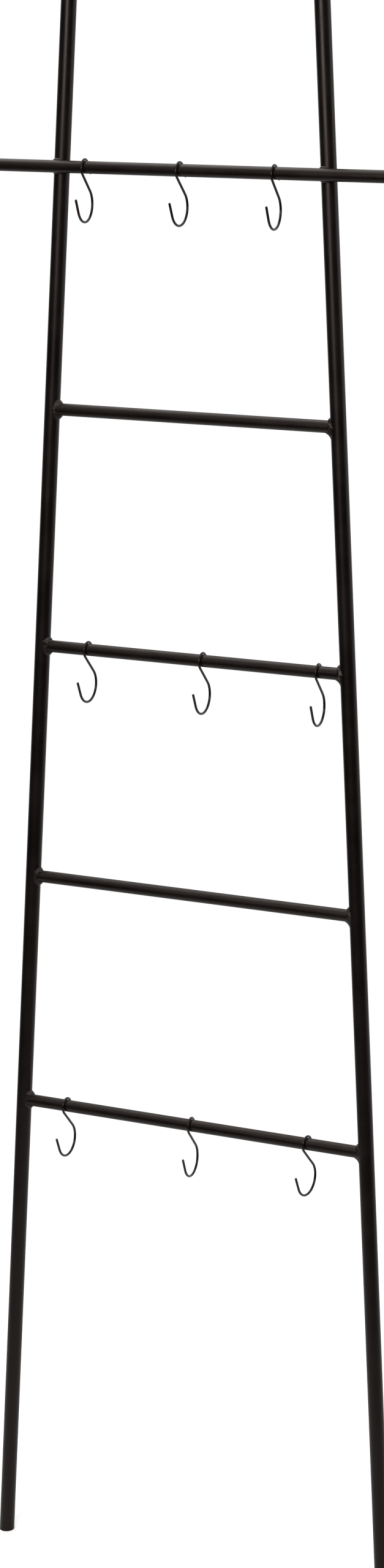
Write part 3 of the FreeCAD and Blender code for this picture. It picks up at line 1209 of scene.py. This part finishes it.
@dataclass(frozen=True)
class Studio:
    """Floor, world, lamps and camera.

    Attributes:
        floor_radius: Radius of the round floor.
        floor_steps: Corners of the round floor.
        floor_colour: Colour of the floor.
        floor_roughness: Roughness of the floor.
        floor_specular: Level of the floor's plain reflection.
        floor_lift: Light that only the camera and mirrors see on the floor.
        ambient: Strength of the world's light on the object.
        front_dim: Strength of the world that mirrors see in front of the ladder.
        behind_band: How far back mirrors look where that dimness ends, and where it is white.
        overhead: Strength of the world that mirrors see overhead.
        overhead_band: How far up they look where that light starts, and where it is full.
        camera_azimuth: Degrees from straight in front, towards the ladder's right.
        camera_elevation: Degrees above the horizon.
        camera_roll: Turn about the line of sight.
        camera_place: Where the camera stands.
        focal_pixels: Focal length in pixels of the full image.
        sensor: Height of the sensor, in millimetres.
    """

    floor_radius: float = 1.5
    floor_steps: int = 96
    floor_colour: Colour = (0.82, 0.82, 0.81, 1.0)
    floor_roughness: float = 0.9
    floor_specular: float = 0.1
    floor_lift: float = 0.45
    ambient: float = 0.35
    front_dim: float = 0.04
    behind_band: Band = (0.0, 0.45)
    overhead: float = 1.1
    overhead_band: Band = (0.1, 0.7)
    camera_azimuth: float = 28.747
    camera_elevation: float = 14.586
    camera_roll: float = -1.365
    camera_place: tuple[float, float, float] = (2.22398, -4.05356, 2.21707)
    focal_pixels: float = 6433.85
    sensor: float = 36.0

    def build(self) -> None:
        """Build the whole studio."""
        self.build_floor()
        self.build_world()
        for lamp, soft in LAMPS.items():
            self.build_lamp(lamp, soft)
        self.build_camera()
        bpy.context.scene.view_settings.view_transform = "Standard"

    def seen_only(self, wires: Wiring) -> Socket:
        """1 for rays from the camera, a mirror or glass, and 0 for the light on the object.

        Args:
            wires: The tree to build in.

        Returns:
            The mask socket.
        """
        path = wires.add("ShaderNodeLightPath").outputs
        mirrored = wires.math("MAXIMUM", path["Is Glossy Ray"], path["Is Transmission Ray"])
        return wires.math("MAXIMUM", path["Is Camera Ray"], mirrored)

    def build_floor(self) -> None:
        """A round pale floor that keeps the ladder's shadow."""
        mesh = bpy.data.meshes.new("floor")
        shape = bmesh.new()
        bmesh.ops.create_circle(
            shape,
            cap_ends=True,
            segments=self.floor_steps,
            radius=self.floor_radius,
        )
        shape.to_mesh(mesh)
        shape.free()
        floor = bpy.data.objects.new("floor", mesh)
        bpy.context.scene.collection.objects.link(floor)
        material = bpy.data.materials.new("pale_floor")
        material.use_nodes = True
        wires = Wiring(material.node_tree)
        shader = material.node_tree.nodes["Principled BSDF"]
        shader.inputs["Roughness"].default_value = self.floor_roughness
        shader.inputs["Specular IOR Level"].default_value = self.floor_specular
        shader.inputs["Base Color"].default_value = self.floor_colour
        shader.inputs["Emission Color"].default_value = WHITE
        lift = wires.math("MULTIPLY", self.seen_only(wires), self.floor_lift)
        wires.join(lift, shader.inputs["Emission Strength"])
        mesh.materials.append(material)

    def build_world(self) -> None:
        """White to the camera, softer as a light, and dim in front, where only mirrors look."""
        world = bpy.data.worlds.new("studio")
        bpy.context.scene.world = world
        world.use_nodes = True
        wires = Wiring(world.node_tree)
        background = world.node_tree.nodes["Background"]
        background.inputs["Color"].default_value = WHITE
        split = wires.add("ShaderNodeSeparateXYZ")
        wires.join(wires.add("ShaderNodeTexCoord").outputs["Generated"], split.inputs[0])
        behind = wires.range(split.outputs["Y"], *self.behind_band, out_low=self.front_dim)
        above = wires.range(split.outputs["Z"], *self.overhead_band, out_high=self.overhead)
        mirrored = wires.math("MAXIMUM", behind, above)
        path = wires.add("ShaderNodeLightPath").outputs
        seen = wires.math("MAXIMUM", mirrored, path["Is Camera Ray"])
        strength = wires.range(self.seen_only(wires), 0.0, 1.0, self.ambient, seen)
        wires.join(strength, background.inputs["Strength"])

    def build_lamp(self, lamp: Lamp, soft: SoftLamp) -> None:
        """One area lamp.

        Args:
            lamp: Which lamp, for its name.
            soft: Its place and power.
        """
        light = bpy.data.lights.new(lamp.value, "AREA")
        light.shape = "RECTANGLE"
        light.size = soft.width
        light.size_y = soft.tall
        light.energy = soft.power
        thing = bpy.data.objects.new(lamp.value, light)
        turn = math.radians(soft.azimuth)
        right, front = soft.distance * math.sin(turn), soft.distance * math.cos(turn)
        thing.location = (right, -front, soft.height)
        sight = Vector((0.0, 0.0, soft.aim)) - thing.location
        thing.rotation_euler = sight.to_track_quat("-Z", "Y").to_euler()
        bpy.context.scene.collection.objects.link(thing)
        LOG.info("lamp %s", lamp.value)

    def build_camera(self) -> None:
        """The camera at the photograph's place and angle."""
        camera = bpy.data.cameras.new("camera")
        camera.sensor_fit = "VERTICAL"
        camera.sensor_height = self.sensor
        camera.lens = self.focal_pixels / IMAGE_HEIGHT * self.sensor
        thing = bpy.data.objects.new("camera", camera)
        turn = Matrix.Rotation(math.radians(self.camera_azimuth), 4, "Z")
        tilt = Matrix.Rotation(math.radians(90.0 - self.camera_elevation), 4, "X")
        roll = Matrix.Rotation(math.radians(self.camera_roll), 4, "Z")
        thing.matrix_world = Matrix.Translation(self.camera_place) @ turn @ tilt @ roll
        bpy.context.scene.collection.objects.link(thing)
        bpy.context.scene.camera = thing


# ---------------------------------------------------------------- the whole


def main() -> None:
    """Build the dressed ladder and the studio."""
    logging.basicConfig(level=logging.INFO, format="%(name)s: %(message)s")
    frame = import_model()
    nodes = frame["nodes"]
    groups = NodeGroups()
    sizes = LadderSizes()
    hooks = Hooks()
    Tubes(sizes).dress(nodes, groups, hooks)
    Welds(sizes).build(groups)
    Plugs().dress(nodes, groups)
    hooks.dress(nodes, groups)
    Studio().build()


if __name__ == "__main__":
    main()
